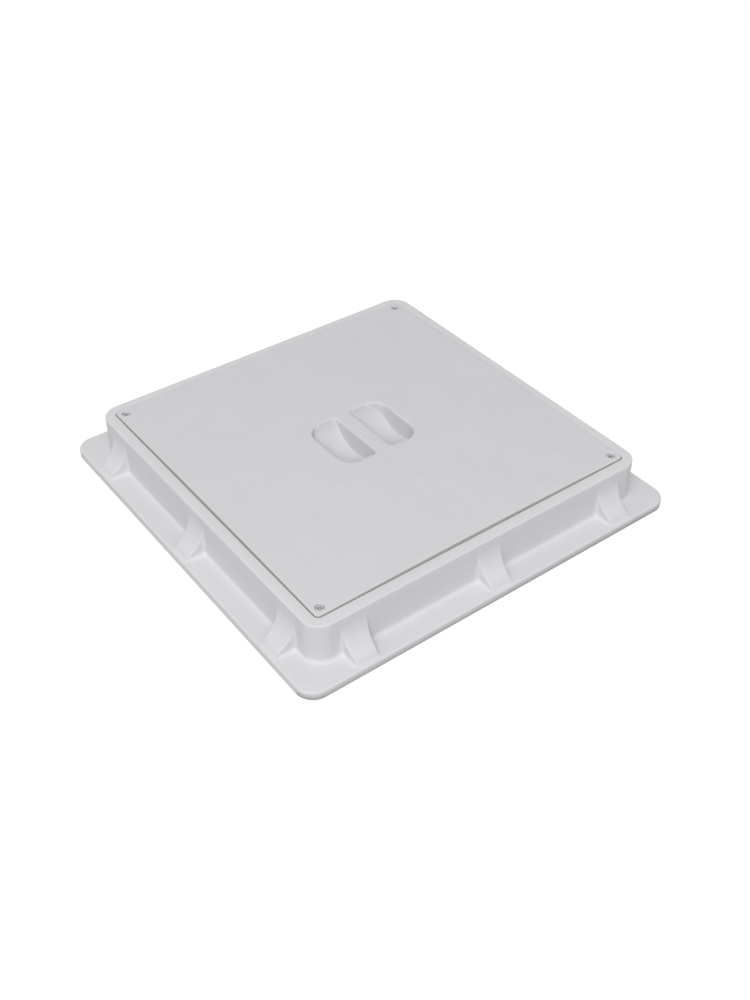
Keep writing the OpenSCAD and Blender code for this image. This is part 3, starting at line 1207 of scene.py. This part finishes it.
# %% [markdown]
# ## The screws
#
# Four M6 cap screws hold the lid down. Each could be a cylinder with a bump for its thread,
# but the real one has a rounded edge on its head, a knurl for the fingers, a key socket
# with a chamfered mouth and a thread that winds. The head and the plain shank are turned
# shapes, so `spin` sweeps their section once round the axis. The thread uses the same
# operator with a small rise for each step.

# %% Sections of a screw, as radius and height above the seat of its head
HEAD_RADIUS = 5 * MM
HEAD_HEIGHT = 6 * MM
HEAD_ROUND = 0.7 * MM
SOCKET_WIDTH = 5 * MM
SOCKET_DEPTH = 3 * MM
SOCKET_CHAMFER = 0.25 * MM
SHANK_RADIUS = 2.98 * MM
CREST_RADIUS = 2.93 * MM
ROOT_RADIUS = 2.42 * MM
THREAD_PITCH = 1 * MM
THREAD_LENGTH = 18 * MM
SCREW_LENGTH = 35 * MM
POINT_CHAMFER = 0.7 * MM
COLLAR_RISE = 0.5 * MM
COLLAR_INSET = 0.4 * MM

socket_radius = SOCKET_WIDTH / math.sqrt(3)
thread_top = THREAD_LENGTH - SCREW_LENGTH


def head_section():
    """From the face around the socket, over the head's edge and down to the thread."""
    points = [Vector((socket_radius + 2 * SOCKET_CHAMFER, 0, HEAD_HEIGHT))]
    for turn in turns(ROUND_STEPS):
        out = HEAD_RADIUS - HEAD_ROUND * (1 - math.sin(turn))
        points.append(Vector((out, 0, HEAD_HEIGHT - HEAD_ROUND * (1 - math.cos(turn)))))
    points.append(Vector((HEAD_RADIUS, 0, COLLAR_RISE)))
    points.append(Vector((HEAD_RADIUS - COLLAR_INSET, 0, 0)))
    points.append(Vector((SHANK_RADIUS, 0, 0)))
    points.append(Vector((SHANK_RADIUS, 0, thread_top)))
    return points


def thread_section():
    """One turn of the thread, from one root to the next."""
    radii = (ROOT_RADIUS, ROOT_RADIUS, CREST_RADIUS, CREST_RADIUS, ROOT_RADIUS, ROOT_RADIUS)
    heights = (0, 0.12, 0.43, 0.57, 0.88, 1)
    return [Vector((out, 0, up * THREAD_PITCH)) for out, up in zip(radii, heights)]


def chain(bm, points):
    """Joins points by edges, as a section for spin to sweep."""
    corners = [bm.verts.new(point) for point in points]
    edges = [bm.edges.new(pair) for pair in zip(corners, corners[1:])]
    return [*corners, *edges]


print("points of the head:", len(head_section()), "and of the thread:", len(thread_section()))

# %% Spin the head and knurl it
SPIN_STEPS = 96
KNURL_DEPTH = 0.12 * MM


def screw_head():
    bm = bmesh.new()
    bmesh.ops.spin(
        bm, geom=chain(bm, head_section()), cent=(0, 0, 0), axis=(0, 0, 1),
        angle=2 * math.pi, steps=SPIN_STEPS, use_merge=True,
    )
    for corner in bm.verts:
        turn = round(math.atan2(corner.co.y, corner.co.x) / (2 * math.pi) * SPIN_STEPS)
        if turn % 2 and corner.co.xy.length > HEAD_RADIUS - TINY:
            corner.co.xy *= 1 - KNURL_DEPTH / HEAD_RADIUS
    return bm


screw = screw_head()
print("faces of the head and shank:", len(screw.faces))

# %% Wind the thread
THREAD_STEPS = 20
THREAD_MERGE = 5 * TINY


def wound_thread():
    """Wound one turn too long at both ends, tapered, and cut off square."""
    bm = bmesh.new()
    wound = round(THREAD_LENGTH / THREAD_PITCH) + 2
    bmesh.ops.spin(
        bm, geom=chain(bm, thread_section()), cent=(0, 0, 0), axis=(0, 0, 1),
        angle=wound * 2 * math.pi, steps=wound * THREAD_STEPS,
        dvec=(0, 0, THREAD_PITCH / THREAD_STEPS),
    )
    bmesh.ops.remove_doubles(bm, verts=bm.verts, dist=THREAD_MERGE)
    bmesh.ops.translate(bm, verts=bm.verts, vec=(0, 0, -SCREW_LENGTH - THREAD_PITCH))
    for corner in bm.verts:
        run_out = eased(1 + (corner.co.z - thread_top) / THREAD_PITCH)
        point = CREST_RADIUS - POINT_CHAMFER + max(corner.co.z + SCREW_LENGTH, 0.0)
        around = corner.co.xy.length
        wanted = max(around, ROOT_RADIUS + (CREST_RADIUS - ROOT_RADIUS) * run_out)
        corner.co.xy *= min(wanted, point) / around
    for level, side in ((thread_top, 1), (-SCREW_LENGTH, -1)):
        cut_line(bm, everything(bm), Vector((0, 0, level)), Vector((0, 0, side)), clear=True)
    print("faces of the thread:", len(bm.faces))
    return to_mesh(bm, "wound_thread")


screw.from_mesh(wound_thread())
for level in (thread_top, -SCREW_LENGTH):
    fill_flat(screw, level)

# %% Press the key socket and set the four screws
SCREW_TURN = 0.4


def hexagon(radius):
    sixths = [math.pi / 3 * corner for corner in range(6)]
    return [Vector((radius * math.cos(turn), radius * math.sin(turn), 0)) for turn in sixths]


def key_socket(bm):
    """A chamfered mouth, six walls and a floor."""
    mouth = start_loop(bm, hexagon(socket_radius + SOCKET_CHAMFER), HEAD_HEIGHT)
    corners, rim = extrude_loop(bm, mouth)
    for corner in corners:
        corner.co.xy *= socket_radius / corner.co.xy.length
        corner.co.z -= SOCKET_CHAMFER
    rim = drop_to(bm, rim, HEAD_HEIGHT - SOCKET_DEPTH)
    bmesh.ops.contextual_create(bm, geom=rim)
    fill_flat(bm, HEAD_HEIGHT)


key_socket(screw)
for number in CORNER_NUMBERS:
    low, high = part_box(f"screw_{number}")
    place = Vector(((low.x + high.x) / 2, (low.y + high.y) / 2, recess_seat))
    turn = Matrix.Rotation(number * SCREW_TURN, 3, "Z")
    one = screw.copy()
    bmesh.ops.rotate(one, cent=(0, 0, 0), matrix=turn, verts=one.verts)
    bmesh.ops.translate(one, verts=one.verts, vec=place)
    piece = as_piece(one, f"cap_screw_{number}", steel)
    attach(piece, "root")
    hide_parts(f"screw_{number}")
screw.free()
